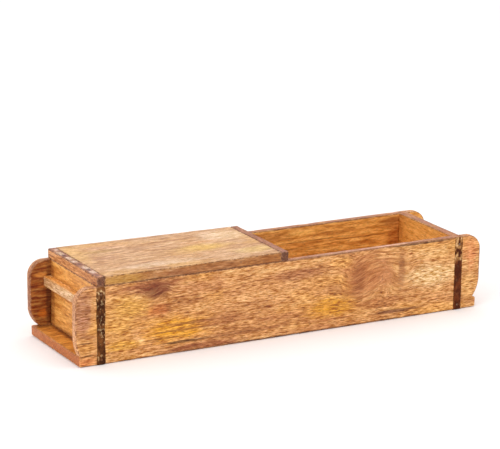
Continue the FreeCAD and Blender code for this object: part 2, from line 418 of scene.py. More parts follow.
def spot_mask(tree, place, along, centre, size, ragged):
    """The mask of one mark, with its outline ragged along the grain."""
    inputs = {"Vector": place, "Grain": along, "Centre": centre, "Size": size, "Ragged": ragged}
    return add(tree, "ShaderNodeGroup", inputs, node_tree=spot_group).outputs["Mask"]


def laid_over(tree, under, mask, strength, shade):
    """A shade, 0 to 255, laid over what is under it. The strength may be a number or a socket."""
    return blend(tree, under, colour(*shade), math_node(tree, "MULTIPLY", mask, strength))


def turned_grain(tree, place, grain, swirls, fine):
    """The place turned so that X runs along the grain, and how sharp the grain's ticks are there."""
    along = place
    sharpness = fine
    for centre, size, turn in swirls:
        mask = spot_mask(tree, place, place, centre, size, 0.5)
        calm = remap(tree, mask, 0.0, 1.0, 1.0, SWIRL_CALM)
        sharpness = math_node(tree, "MULTIPLY", sharpness, calm)
        angle = math_node(tree, "MULTIPLY", mask, math.radians(turn))
        inputs = {"Vector": along, "Center": centre, "Axis": (0, 1, 0), "Angle": angle}
        along = add(tree, "ShaderNodeVectorRotate", inputs).outputs[0]
    if grain == 1:
        quarter_turn = {"Vector": along, "Rotation": (0, 0, math.pi / 2)}
        along = add(tree, "ShaderNodeMapping", quarter_turn).outputs[0]
    return along, sharpness


def wood_body(tree, figure, broad, pale, middle, dark, tint, rings):
    """The colour of the body: a ramp of three tones, tinted in places, with growth rings."""
    shares = {0: RIPPLE_SHARE, 2: figure["Streak"], 3: figure["Ripple"]}
    body = add(tree, "ShaderNodeMix", shares).outputs[0]
    ramp = add(tree, "ShaderNodeValToRGB", {"Fac": body})
    stops = ramp.color_ramp.elements
    stops[0].position, stops[0].color = 0.37, colour(*dark)
    stops[1].position, stops[1].color = 0.63, colour(*pale)
    stops.new(0.5).color = colour(*middle)
    surface = ramp.outputs["Color"]
    if tint:
        surface = blend(tree, surface, colour(*tint), remap(tree, broad, 0.52, 0.68, 0.0, 0.6))
    if rings:
        ring = remap(tree, figure["Ring"], 0.55, 0.95, 0.0, rings, smooth=False)
        surface = blend(tree, surface, colour(*dark), ring)
    return surface


def narrow_sides(tree, surface, figure, place, along, rim, rim_spots, end, dark):
    """The body with its narrow sides and its end grain coloured, where the board's values say so."""
    rim_colour = colour(*rim)
    for centre, size, shade, strength, ragged in rim_spots:
        mask = spot_mask(tree, place, along, centre, size, ragged)
        rim_colour = laid_over(tree, rim_colour, mask, strength, shade)
    narrow = add(tree, "ShaderNodeAttribute", attribute_name="rim").outputs["Fac"]
    patchy = remap(tree, stretched(tree, along, RIM_PATCHES, 3.0, 0.65), 0.36, 0.6, 0.6, 1.0)
    surface = blend(tree, surface, rim_colour, math_node(tree, "MULTIPLY", narrow, patchy))
    sawn = add(tree, "ShaderNodeAttribute", attribute_name="end").outputs["Fac"]
    speckles = remap(tree, figure["Fibre"], 0.45, 0.62, 0.0, 0.4)
    speckled = blend(tree, colour(*end), colour(*dark), speckles)
    return blend(tree, surface, speckled, math_node(tree, "MULTIPLY", sawn, 0.85))


print("the body is", RIPPLE_SHARE, "ripples and", round(1 - RIPPLE_SHARE, 2), "streaks")

# %% [markdown]
# ## Marks, wear and varnish
# The rest is laid on in about the order in which it came to the wood: stains, knots, painted shade and
# painted light, then ripples, fine ticks and pores, the rubbed edges with dirt beside them, and last
# the satin varnish, which multiplies everything under it by its own faint colour. Each layer is a blend
# through a mask, so any one can be changed without the others. A slight bump lets the fibres catch the light.

# %% Wood material
FINE_TINT = (0.9, 1.3, 2.2)        # a dark tick is redder than the wood round it, a pale one whiter
DARKEST = (0.2, 0.15, 0.1)         # what ticks and ripples always leave of a colour
BROAD_CHANGES = (0.012, 0.03, 0.03)
PORE_SHADE = 0.62                  # of the dark wood's colour
WEAR_REACH = 2.6                   # how far in from an edge the varnish is rubbed off, in millimetres
GLOSSY, DULL = 0.42, 0.6           # roughness of thick varnish and of thin
BUMP_STRENGTH, BUMP_DEPTH = 0.6, 0.0005


def wood(name, pale, middle, dark, grain, seed, rim, end, worn, line, spots=(), rim_spots=(),
         swirls=(), tint=None, rings=0.0, fine=2.9, coarse=0.9, varnish=(1.0, 1.0, 1.0)):
    """A varnished wood. grain is the axis the grain runs along, 0 for X or 1 for Y.
    Each spot is (centre, size, colour, strength, ragged) and each swirl (centre, size, turn in degrees),
    with places and sizes in millimetres. Rim spots show only on the narrow sides."""
    material = bpy.data.materials.new(name)
    material.use_nodes = True
    tree = material.node_tree
    tree.nodes.clear()
    output = add(tree, "ShaderNodeOutputMaterial")
    place = in_millimetres(tree)
    along, sharpness = turned_grain(tree, place, grain, swirls, fine)
    figure = add(tree, "ShaderNodeGroup", {"Vector": along, "Seed": seed}, node_tree=grain_group).outputs
    broad = stretched(tree, along, BROAD_CHANGES, 2.0)
    surface = wood_body(tree, figure, broad, pale, middle, dark, tint, rings)
    surface = narrow_sides(tree, surface, figure, place, along, rim, rim_spots, end, dark)

    streaky = remap(tree, figure["Ripple"], 0.36, 0.6, 1.0, 0.7)
    for centre, size, shade, strength, ragged in spots:
        mask = spot_mask(tree, place, along, centre, size, ragged)
        mask = math_node(tree, "MULTIPLY", mask, strength)
        surface = laid_over(tree, surface, mask, streaky, shade)

    ripples = math_node(tree, "SUBTRACT", figure["Ripple"], 0.5)
    ticks = math_node(tree, "MULTIPLY", figure["Fine"], sharpness)
    lift = math_node(tree, "ADD", ticks, math_node(tree, "MULTIPLY", ripples, coarse))
    lifts = vector_node(tree, "ADD", vector_node(tree, "MULTIPLY", lift, FINE_TINT), (1, 1, 1))
    surface = blend(tree, surface, vector_node(tree, "MAXIMUM", lifts, DARKEST), 1.0, "MULTIPLY")
    surface = laid_over(tree, surface, figure["Pore"], 0.5, (PORE_SHADE * c for c in dark))

    wear_inputs = {"Vector": place, "Seed": seed * 9.7, "Reach": WEAR_REACH}
    wear = add(tree, "ShaderNodeGroup", wear_inputs, node_tree=wear_group).outputs
    surface = laid_over(tree, surface, wear["Worn"], 0.6, worn)
    surface = laid_over(tree, surface, wear["Line"], 0.8, line)
    surface = blend(tree, surface, (*varnish, 1.0), 1.0, "MULTIPLY")

    gloss = remap(tree, broad, 0.3, 0.7, GLOSSY, DULL)
    matt = math_node(tree, "ADD", gloss, math_node(tree, "MULTIPLY", wear["Worn"], 0.15), True)
    relief = {"Height": figure["Height"], "Strength": BUMP_STRENGTH, "Distance": BUMP_DEPTH}
    normal = add(tree, "ShaderNodeBump", relief).outputs["Normal"]
    finish = {"Base Color": surface, "Roughness": matt, "Normal": normal, "Specular IOR Level": 0.35}
    shader = add(tree, "ShaderNodeBsdfPrincipled", finish)
    tree.links.new(shader.outputs[0], output.inputs["Surface"])
    print(name, len(tree.nodes), "nodes")
    return material


# %% [markdown]
# ## The side boards
# Each side board runs the whole length of the box and ends in ears. It starts as a straight worn
# board, and three bends give it its shape. The upper corners move onto a quarter circle: a point
# keeps its ring, the distance max(across, up) from the circle's middle, and only its direction is
# kept, so squares become circles. The feet are pulled in along a shallow arc, each by its own amount,
# as they were cut by hand. Last, the inner face drops into grooves where the end boards and the
# divider are housed.

# %% Bends of a side board
EAR_TOP_RADIUS = 20.0
# how far each ear's foot is cut in and how far up the cut starts, by side and by end (-1 is the left)
EAR_FEET = {
    ("front", -1): (6.0, 25.0), ("front", 1): (11.0, 30.0),
    ("back", -1): (14.0, 28.0), ("back", 1): (12.0, 28.0),
}
FOOT_BLEND = 60.0          # how far along the board a foot's cut is spread
GROOVE_EDGE = 0.02         # a groove's wall leans by this much, so that its two edges stay apart
JOINT_REACH = 1.5          # how near to the joint with the base board the wood isn't worn

housed = [node_box(node) for node in ("left_end_wall", "divider", "right_end_wall")]
grooves = [(low[0], high[0]) for low, high in housed]


def side_board_shape(side, sign):
    """The bends for one side board. sign is -1 for the front one and 1 for the back one."""
    def shape(points):
        x, y, z = points.T.copy()
        end = np.sign(x)
        across = np.abs(x) - (tip - EAR_TOP_RADIUS)
        up = z - (wall_top - EAR_TOP_RADIUS)
        corner = (across > 0) & (up > 0)
        ring = np.maximum(across, up) / np.maximum(np.hypot(across, up), 1e-9)
        x = np.where(corner, end * (tip - EAR_TOP_RADIUS + across * ring), x)
        z = np.where(corner, wall_top - EAR_TOP_RADIUS + up * ring, z)
        for way in (-1, 1):
            inset, rise = EAR_FEET[side, way]
            arc = (inset ** 2 + rise ** 2) / (2 * inset)
            below = np.clip(base_top + rise - z, 0, rise)
            pulled = arc - np.sqrt(arc ** 2 - below ** 2)
            share = np.clip((x * way - (tip - FOOT_BLEND)) / FOOT_BLEND, 0, 1)
            x = x - way * pulled * share ** 1.5
        for low, high in grooves:
            inner = (x > low - GROOVE_EDGE / 2) & (x < high + GROOVE_EDGE / 2)
            depth = (np.abs(y) - side_outer) / (side_inner - side_outer)
            y = np.where(inner, sign * (side_outer + depth * (housing_face - side_outer)), y)
        return np.stack([x, y, z], 1)
    return shape


EAR_STEPS = 16             # grid lines across an ear's rounded corner
groove_edges = [edge for groove in grooves for edge in groove]
groove_lines = [edge + way * GROOVE_EDGE for edge in groove_edges for way in (-1, 1)]
corner_steps = np.arange(EAR_STEPS) / EAR_STEPS
tip_lines = [way * (tip - EAR_TOP_RADIUS * (1 - step)) for way in (-1, 1) for step in corner_steps]


def side_radius(points):
    """Sharp where the board meets the base board, and rounder towards its worn top edge."""
    heights = [base_top, base_top + 8, wall_top - 8, wall_top]
    return np.interp(points[:, 2], heights, [0.2, 0.9, 1.0, 1.3])


def at_joint(points):
    """The joint between a side board and the base, and the base's long edge below it."""
    return (points[:, 2] < base_top + JOINT_REACH) & (np.abs(points[:, 1]) > side_outer - JOINT_REACH)


def finish_piece(piece, material, body, slot, *nodes):
    """Gives a piece its material and its body, and hides the CAD nodes that it stands for. slot is not used.
    """
    piece.data.materials.clear()
    piece.data.materials.append(material)
    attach(piece, body)
    if nodes:
        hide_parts(*nodes)
    print(piece.name, len(piece.data.polygons), "quads")


print(len(groove_lines), "grid lines at the grooves,", len(tip_lines), "at the ears")

# %% [markdown]
# ## The front board's wood
# Old boards show where they have been: the left ear is mauve, painted shade darkens the board below
# the lid, and further right the grain swirls round a grown-in branch. A picture laid on the board could
# give all that, but it would end at the edges. Marks with a place, a size and a colour in millimetres go
# through the solid, so a stain on the face also shows on the edge beside it, and each can be moved by
# itself.

# %% The front board's wood and its marks
FRONT = -side_outer
# each mark is its centre, its size, its colour, how strong it is and how ragged
front_spots = [
    # the mauve left ear, with a darker border where the strap begins
    ((-289, FRONT, 73.3), (17, 30, 30), (176, 116, 84), 1.0, 0.5),
    ((-290, FRONT, 53.3), (13, 30, 14), (182, 120, 86), 0.9, 0.8),
    ((-277, FRONT, 67.3), (3, 20, 30), (206, 142, 80), 0.8, 0.5),
    ((-285, FRONT, 39.3), (12, 20, 3), (150, 88, 50), 0.8, 1.0),
    ((-286, FRONT, 25.3), (14, 20, 10), (216, 150, 72), 0.8, 1.0),
    ((-287, FRONT, 30.8), (12, 20, 1.4), (110, 58, 30), 0.8, 0.9),
    ((-285, FRONT, 6), (16, 20, 7), (214, 122, 58), 0.9, 0.6),
    ((-284, FRONT, base_top), (9, 20, 1.1), (84, 40, 20), 1.0, 0.6),
    # stains and knots, from left to right, with painted shade below the lid and on the right ear's end
    ((-240, FRONT, 51.3), (24, 20, 50), (226, 166, 84), 0.6, 1.2),
    # painted shade just below the lid
    ((-195, FRONT, 93.3), (62, 20, 10), (168, 98, 58), 0.9, 1.3),
    ((-190, FRONT, 88.3), (28, 20, 14), (116, 44, 2), 1.0, 1.1),
    ((-186, FRONT, 60.3), (19, 20, 9), (196, 106, 46), 0.9, 1.1),
    ((-222, FRONT, 69.3), (30, 20, 18), (222, 164, 70), 0.8, 1.2),
    ((-160, FRONT, 31.3), (56, 20, 20), (226, 154, 26), 1.0, 1.4),
    ((-130, FRONT, 38.3), (64, 20, 2.4), (126, 66, 20), 0.9, 1.3),
    ((-160, FRONT, 30.3), (50, 20, 1.6), (132, 74, 16), 0.9, 1.3),
    ((-178, FRONT, 22.3), (40, 20, 1.5), (132, 74, 16), 0.9, 1.2),
    ((-112, FRONT, 30.3), (36, 20, 1.5), (140, 78, 34), 0.8, 1.2),
    ((-235, FRONT, 21.3), (32, 20, 9), (222, 158, 52), 0.9, 1.2),
    ((-92, FRONT, 35.3), (52, 20, 9), (176, 108, 60), 0.8, 1.3),
    ((-120, FRONT, 85.3), (50, 20, 12), (196, 128, 80), 0.7, 1.3),
    ((15, FRONT, 81.3), (50, 20, 10), (170, 102, 62), 0.85, 1.2),
    ((70, FRONT, 31.3), (48, 20, 19), (217, 147, 32), 1.0, 1.4),
    ((-12, FRONT, 28.3), (44, 20, 6), (186, 118, 70), 0.6, 1.3),
    ((118, FRONT, 65.3), (40, 20, 40), (186, 112, 62), 0.95, 0.9),
    ((110, FRONT, 61.3), (14, 20, 30), (150, 82, 42), 0.6, 0.9),
    ((150, FRONT, 67.3), (16, 20, 26), (206, 136, 86), 0.9, 1.1),
    ((176, FRONT, 67.3), (7, 20, 30), (160, 96, 52), 0.8, 1.1),
    ((140, FRONT, 27.3), (44, 20, 8), (178, 108, 54), 0.8, 1.3),
    ((222, FRONT, 54.3), (46, 20, 20), (246, 204, 150), 0.95, 1.1),
    ((225, FRONT, 85.3), (34, 20, 9), (240, 186, 124), 0.8, 1.1),
    ((284, FRONT, 85.3), (18, 20, 22), (222, 140, 84), 0.7, 0.8),
    ((284, FRONT, 31.3), (18, 20, 22), (240, 182, 110), 0.7, 0.8),
    ((286, FRONT, 72), (8, 20, 24), (232, 148, 92), 0.7, 0.6),
    # painted shade along the right ear's end edge, which is turned from the light
    ((tip, FRONT, 62), (2.4, 6, 44), (132, 92, 66), 0.9, 0.3),
    ((-30, FRONT, 59.3), (90, 20, 22), (226, 164, 108), 0.5, 1.3),
    # the joint with the base board, where dirt has gathered
    ((-148, FRONT, base_top + 0.6), (40, 20, 2.2), (66, 30, 16), 1.0, 1.1),
    ((-60, FRONT, base_top + 0.7), (70, 20, 3), (150, 88, 46), 0.8, 1.3),
    ((168, FRONT, base_top - 2.3), (40, 20, 3.2), (104, 48, 28), 1.0, 1.1),
    ((60, FRONT, base_top - 0.3), (60, 20, 2), (176, 104, 56), 0.7, 1.3),
    # the foot of the box, redder towards the middle
    ((-120, FRONT, 5), (76, 20, 6.5), (158, 86, 50), 0.95, 1.2),
    ((40, FRONT, 5), (90, 20, 6), (196, 128, 78), 0.6, 1.2),
    ((240, FRONT, 6), (44, 20, 8), (240, 176, 98), 0.9, 1.0),
    # a painted contact shadow along the bottom, then dark lines along the worn upper edges and a pale one on
    # top
    ((0, FRONT, 0.6), (330, 4, 2.6), (84, 38, 20), 0.95, 0.8),
    ((205, FRONT, wall_top - 1.2), (62, 3, 2.2), (58, 26, 16), 1.0, 0.9),
    ((60, FRONT, wall_top - 0.5), (90, 2.5, 1.6), (84, 42, 26), 0.9, 1.0),
    ((70, -side_inner, wall_top), (200, 1.8, 1.4), (92, 48, 30), 0.85, 0.8),
    ((130, FRONT + 5, wall_top), (110, 3, 2), (224, 172, 146), 0.85, 1.1),
]
front_swirls = [
    ((122, FRONT, 63.3), (42, 60, 40), 24),
    ((170, FRONT, 63.3), (26, 60, 38), -18),
    ((-188, FRONT, 85.3), (22, 60, 18), 20),
]
ear_rims = [((way * tip, 0, 50), (70, 120, 120), (244, 184, 130), 1.0, 0.3) for way in (-1, 1)]
side_tones = {"pale": (230, 174, 112), "middle": (214, 150, 90), "dark": (172, 106, 54)}
old_edge = {"rim": (172, 108, 78), "end": (232, 170, 122), "worn": (232, 178, 130), "line": (128, 74, 46)}
front_wood = wood("front_board_wood", grain=0, seed=1.0, spots=front_spots, swirls=front_swirls,
                  rim_spots=ear_rims, tint=(224, 158, 74), varnish=(0.89, 0.87, 0.79),
                  **side_tones, **old_edge)

# %% [markdown]
# ## The back board's wood
# The back board is seen from inside the box, where no sun has bleached it: golden, with growth rings
# and a few dark lines along the grain. Beyond the left end board its ear is painted dark red, as
# painted shade where the handle and the end board keep the light off it.

# %% The back board's wood and its marks
back_spots = [
    # the left ear beyond the end board: dark red painted shade with paler streaks, and darker painted shade
    # in its corner with the end board
    ((-290, side_inner, 57.3), (46, 12, 95), (118, 40, 2), 1.0, 0.5),
    ((-286, side_inner, 83.3), (13, 12, 4), (214, 140, 66), 1.0, 1.0),
    ((-280, side_inner, 67.3), (10, 12, 2.5), (190, 110, 46), 0.9, 1.0),
    ((-282, side_inner, 31.3), (9, 12, 7), (200, 110, 30), 1.0, 0.9),
    ((-274, side_inner, 51.3), (5, 12, 60), (84, 34, 10), 0.9, 0.7),
    ((130, side_inner, wall_top), (170, 1.8, 1.8), (70, 32, 16), 0.95, 0.6),
    # painted shade in the corner with the right end board
    ((250, side_inner, 61.3), (16, 14, 50), (176, 92, 34), 0.7, 0.8),
    ((200, side_inner, 67.3), (30, 14, 5), (196, 116, 40), 0.7, 1.1),
    ((120, side_inner, 80), (80, 14, 1.0), (132, 66, 20), 0.8, 0.8),
    ((70, side_inner, 71), (60, 14, 1.2), (140, 72, 24), 0.8, 0.8),
    ((190, side_inner, 76), (60, 14, 0.9), (140, 72, 24), 0.8, 0.8),
    ((50, side_inner, 92), (44, 14, 8), (166, 84, 30), 0.6, 1.1),
    ((246, side_inner, 92), (24, 14, 8), (150, 76, 26), 0.7, 1.0),
    ((150, side_inner, 87.3), (40, 14, 4), (190, 116, 46), 0.7, 1.2),
]
back_wood = wood("back_board_wood", grain=0, seed=2.3, spots=back_spots, pale=(252, 194, 106),
                 middle=(242, 172, 86), dark=(204, 126, 52), rings=0.4, tint=(242, 176, 80), fine=1.1,
                 coarse=1.0, rim_spots=ear_rims, varnish=(0.96, 0.98, 0.92), **old_edge)

# %% [markdown]
# ## Both side boards
# The two boards differ only in their wood, their random draws and the cuts at their feet, so one loop
# makes both. The extra grid lines put a row of points exactly at each groove and close together round
# the ears, where a bend would otherwise look faceted.

# %% Build the side boards
side_lines = sorted(groove_lines + tip_lines)
for side, sign, material, seed in (("front", -1, front_wood, 11), ("back", 1, back_wood, 23)):
    low, high = node_box(f"{side}_wall")
    board = worn_board(f"{side}_side_board", low, high, 0, seed, side_radius, step=2.6, extra=side_lines,
                       shape=side_board_shape(side, sign), joined=at_joint)
    finish_piece(board, material, "box", "box_wood", f"{side}_wall")

# %% [markdown]
# ## The base, the end boards and the divider
# The base board is the widest and sticks out past both ends as a ledge. The end boards and the
# divider run across, with their grain along Y, and sit 4 mm deep in the grooves. A gap of a hair each
# side of them lets the joint show as a fine dark line. The front edge of the base was planed flush
# with the front board after nailing, and the two match so well that the front board's wood is used
# there too: its pattern runs on across the joint.

# %% The wood of the base board and of the cross boards
ledge_spots = [
    # painted shade on the ledge, along the foot of the left end board and by the back ear's foot
    ((-end_outer, 0, base_top), (7, 90, 3), (112, 50, 16), 0.9, 0.7),
    ((-284, 64, base_top), (16, 8, 3), (120, 58, 22), 0.8, 0.8),
    # a paler patch and a pale line along the ledge, and the end face darker towards the floor
    ((-284, -20, base_top), (12, 40, 3), (232, 158, 64), 0.6, 1.0),
    ((-tip, 0, base_top), (3, 90, 2), (226, 150, 92), 0.7, 1.1),
    ((-tip, 0, 2), (4, 90, 4), (158, 80, 42), 0.7, 1.1),
]
base_wood = wood("base_board_wood", grain=0, seed=3.7, rim=(196, 112, 54), end=(184, 100, 44),
                 worn=(226, 164, 104), line=(150, 84, 44), pale=(240, 168, 84), middle=(220, 142, 60),
                 dark=(168, 92, 36), fine=2.2, spots=ledge_spots, varnish=(0.93, 0.95, 0.88))
end_spots = [
    ((end_inner, 10, wall_top), (3.0, 70, 2.4), (62, 28, 14), 1.0, 0.7),
    ((end_outer, 0, wall_top), (2.6, 72, 2.0), (96, 50, 36), 0.9, 0.9),
    # painted shade in the right end board's corner with the back board
    ((end_inner, 60, 51.3), (3, 8, 70), (176, 100, 38), 0.8, 0.7),
    # painted light: the right end board's inner face, which faces the left lamp, made paler
    ((end_inner, 0, 61.3), (2, 90, 80), (246, 180, 90), 0.8, 0.8),
    # painted shade on the left end board's outer face, in the recess between the ears: low by the ledge, in
    # its corners with the ears, and in two bands across it higher up
    ((-end_outer, 0, 15.3), (3, 90, 5), (150, 78, 30), 0.9, 0.9),
    ((-end_outer, 61, 51.3), (3, 9, 70), (150, 82, 34), 0.9, 0.8),
    ((-end_outer, -61, 41.3), (3, 7, 50), (168, 94, 40), 0.8, 0.8),
    ((-end_outer, 0, 69.3), (3, 64, 4), (176, 104, 46), 0.8, 0.8),
    ((-end_outer, -10, 95.3), (3, 60, 4), (196, 120, 52), 0.6, 1.1),
]
cross_wood = wood("cross_board_wood", grain=1, seed=4.9, spots=end_spots, pale=(240, 178, 96),
                  middle=(226, 158, 76), dark=(190, 114, 42), fine=1.1,
                  varnish=(0.94, 0.92, 0.87), **old_edge)

# %% [markdown]
# ## Building them
# All four are plain boards, so the worn board's recipe makes each from its CAD box. The faces of the
# base's two long edges are picked by the way they look and given the side boards' wood.

# %% Build the base board and the cross boards
JOINT_GAP = 0.12           # the dark line left at a joint, on each side of the board in it
FACES_OUT = 0.6            # how squarely a face must look out to count as the base's long edge


def base_radius(points):
    """Sharp under the side boards, rounder along the ledges."""
    ledge = np.clip((np.abs(points[:, 0]) - end_outer) / 6, 0, 1)
    return np.where(points[:, 2] > base_top - 4, 0.2 + 1.2 * ledge, 0.8 + 0.8 * ledge)


base_piece = worn_board("base_plank", *node_box("base_board"), 0, 31, base_radius, step=2.8, joined=at_joint)
finish_piece(base_piece, base_wood, "box", "box_wood", "base_board")
base_piece.data.materials.append(front_wood)
base_piece.data.materials.append(back_wood)
for polygon in base_piece.data.polygons:
    if abs(polygon.normal.y) > FACES_OUT and abs(polygon.center.y) > (side_outer - JOINT_REACH) * MM:
        polygon.material_index = 1 if polygon.normal.y < 0 else 2

cross_boards = {
    "left_end_wall": "left_end_board",
    "divider": "divider_board",
    "right_end_wall": "right_end_board",
}
joint_gap = np.array([JOINT_GAP, 0.0, 0.0])
for index, (node, name) in enumerate(cross_boards.items()):
    low, high = node_box(node)
    board = worn_board(name, low + joint_gap, high - joint_gap, 1, 41 + index, 0.9, step=2.2, wave=0.16)
    finish_piece(board, cross_wood, "box", "box_wood", node)

# %% [markdown]
# ## The handle bars
# A square bar between the ears, paler than the rest because hands keep it clean, with open pores. Its
# grain runs across the box.

# %% Build the handle bars
handle_wood = wood("handle_wood", grain=1, seed=6.1, rim=(238, 160, 68), end=(196, 140, 90),
                   worn=(240, 200, 146), line=(190, 130, 74), pale=(246, 212, 166), middle=(234, 190, 138),
                   dark=(180, 124, 74), fine=1.9, varnish=(0.89, 0.87, 0.87))
for index, way in enumerate(("left", "right")):
    low, high = node_box(f"{way}_handle_bar")
    bar = worn_board(f"{way}_handle_rail", low, high, 1, 51 + index, 1.2, step=1.5, wave=0.2)
    finish_piece(bar, handle_wood, "box", "handle_wood", f"{way}_handle_bar")

# %% [markdown]
# ## The lid
# A plank with a darker cleat across each end, which keeps it flat. The cleats are older wood: their
# tops have a worn strip with pale patches, painted highlights of the light on its varnish, and dark
# grime. Two battens underneath drop inside the left compartment.

# %% The lid's wood
LID_TOP = lid_high[2]
lid_spots = [
    ((-250, 30, LID_TOP), (14, 60, 5), (238, 186, 112), 0.6, 1.0),
    ((-90, -8, LID_TOP), (50, 18, 5), (240, 190, 92), 0.75, 1.3),
    ((-80, 16, LID_TOP), (40, 5, 5), (218, 148, 84), 0.7, 1.1),
    ((-150, -12, LID_TOP), (60, 16, 5), (204, 150, 104), 0.6, 1.2),
    ((-170, -52, LID_TOP), (80, 12, 5), (238, 202, 166), 0.6, 1.2),
    ((-200, 48, LID_TOP), (40, 12, 5), (226, 168, 128), 0.6, 1.2),
    ((-215, 30, LID_TOP), (30, 8, 5), (204, 160, 90), 0.6, 1.2),
    ((-225, 0, LID_TOP), (24, 10, 5), (196, 138, 100), 0.5, 1.2),
    ((-30, -45, LID_TOP), (40, 16, 5), (236, 196, 112), 0.6, 1.2),
    ((-40, 34, LID_TOP), (40, 26, 5), (246, 208, 168), 0.8, 1.1),
    ((-130, FRONT, lid_low[2]), (170, 4, 1.8), (74, 36, 20), 0.95, 0.8),
    ((-235, FRONT, 107.6), (34, 4, 9), (196, 142, 62), 0.9, 1.0),
    ((-150, FRONT, 106.6), (40, 4, 7), (156, 90, 46), 0.8, 1.2),
    ((-95, FRONT, 107.6), (36, 4, 7), (164, 100, 50), 0.8, 1.2),
    ((-30, FRONT, 106.6), (48, 4, 8), (164, 96, 34), 0.9, 1.2),
]
lid_wood = wood("lid_wood", grain=0, seed=8.2, spots=lid_spots, rim=(176, 112, 54), end=(170, 112, 72),
                worn=(220, 172, 116), line=(110, 62, 32), pale=(230, 182, 132), middle=(214, 158, 106),
                dark=(176, 116, 70), tint=(226, 170, 98), fine=1.7, varnish=(0.88, 0.90, 0.93))

# %% The wood of the cleats and of the battens
CLEAT_MIDDLE = 5.0         # from the lid's left end to the middle of the worn strip on the cleat
# the pale patches are painted highlights on the cleats' worn strip; the dark ones are grime
WORN_SHEEN, GRIME = (236, 206, 184), (100, 56, 54)
sheen_places = [(1, -50, 8), (0, -28, 11), (-1, 3, 7), (1, 20, 8), (-1, 46, 11), (1, 62, 5)]
cleat_x = node_box("lid_left_cleat")[0][0] + CLEAT_MIDDLE
cleat_spots = []
for shift, y, half in sheen_places:
    cleat_spots.append(((cleat_x + shift, y, LID_TOP), (5, half, 2.5), WORN_SHEEN, 0.9, 2.4))
for y in (-64, -38, -10, 33):
    cleat_spots.append(((cleat_x, y, LID_TOP), (4, 6, 2.5), GRIME, 0.95, 1.8))
cleat_wood = wood("cleat_wood", grain=1, seed=9.4, spots=cleat_spots, rim=(158, 100, 78),
                  end=(74, 38, 24), worn=(204, 152, 120), line=(74, 38, 24), pale=(224, 160, 98),
                  middle=(208, 140, 80), dark=(172, 104, 54), fine=2.3, varnish=(0.90, 0.87, 0.80))
batten_wood = wood("batten_wood", grain=1, seed=10.6, rim=(176, 116, 70), end=(160, 104, 64),
                   worn=(210, 160, 110), line=(110, 66, 40), pale=(214, 156, 98), middle=(194, 134, 78),
                   dark=(156, 98, 52))

# %% [markdown]
# ## A lid sawn aslant
# The lid's back edge was sawn askew, so the lid is narrower at its right end. Each piece is made as a
# straight board first, and a last step draws its back half in, the more the further right a point
# lies. How steep the slant is comes from the CAD: the right cleat's box is that much narrower than
# the lid's left end.

# %% Build the lid
panel_low, panel_high = node_box("lid_panel")
cleat_boxes = {node: node_box(node) for node in ("lid_left_cleat", "lid_right_cleat")}
lid_left = cleat_boxes["lid_left_cleat"][0][0]
right_low, right_high = cleat_boxes["lid_right_cleat"]
lid_slant = (side_outer - right_high[1]) / (right_low[0] - lid_left)


def sawn_aslant(points):
    """Draws the lid's back half in towards the right, as the CAD lid's slanted back edge has it."""
    x, y, z = points.T
    narrower = lid_slant * (x - lid_left)
    return np.stack([x, np.where(y > 0, y * (1 - narrower / side_outer), y), z], 1)


print("the lid gets", round(100 * lid_slant, 2), "mm narrower in every 100 mm")
for low, high in cleat_boxes.values():
    high[1] = side_outer                                 # the width before the slant is taken off
panel_high[1] = side_outer
panel_low[0] = cleat_boxes["lid_left_cleat"][1][0]       # the plank without its tongues
panel_high[0] = cleat_boxes["lid_right_cleat"][0][0]
panel = worn_board("lid_plank", panel_low + joint_gap, panel_high - joint_gap, 0, 61, 1.0, step=2.4,
                   shape=sawn_aslant)
finish_piece(panel, lid_wood, "lid", "lid_wood", "lid_panel")
for index, (node, (low, high)) in enumerate(cleat_boxes.items()):
    cleat = worn_board(f"{node}_strip", low, high, 1, 71 + index, 1.1, chips=1.3, step=1.5,
                       shape=sawn_aslant)
    finish_piece(cleat, cleat_wood, "lid", "cleat_wood", node)
for index, node in enumerate(("lid_left_batten", "lid_right_batten")):
    batten = worn_board(f"{node}_strip", *node_box(node), 1, 81 + index, 0.8, step=2.2)
    finish_piece(batten, batten_wood, "lid", "hidden_wood", node)

# %% [markdown]
# ## The iron straps
# Each strap was hammered out of thin iron, so its edges wave and its face is full of shallow facets.
# It is made flat, as a smith would, and then bent: a point's distance along the strip is turned into
# a place on the path down the front, under the base and up the back, and its thickness points
# outwards from that path.

# %% Bend a strip round the box
strap_top = node_box("left_strap")[1][2]
STRAP_THICKNESS = 0.8      # of the iron that stands out of the wood
STRAP_SUNK = 0.4           # how far the band goes on into the wood, so that no gap shows under it
STRAP_STEP, STRAP_FINE = 0.9, 0.8
BEND_RADIUS = 1.6
strap_outer = side_outer + STRAP_THICKNESS
down = strap_top - BEND_RADIUS
under = 2 * (strap_outer - BEND_RADIUS)
quarter = BEND_RADIUS * math.pi / 2


def strap_path(along):
    """Place (y, z) and outward direction of the outer face, from the front top end to the back one."""
    half = down + quarter + under / 2
    side = np.where(along < half, -1.0, 1.0)
    s = np.where(along < half, along, 2 * half - along)
    turn = np.clip((s - down) / BEND_RADIUS, 0, math.pi / 2)
    flat = np.clip(s - down - quarter, 0, None)
    y = strap_outer - BEND_RADIUS * (1 - np.cos(turn)) - flat
    z = strap_top - np.clip(s, 0, down) - BEND_RADIUS * np.sin(turn)
    return side * y, np.maximum(z, 0.0), side * np.cos(turn), -np.sin(turn)


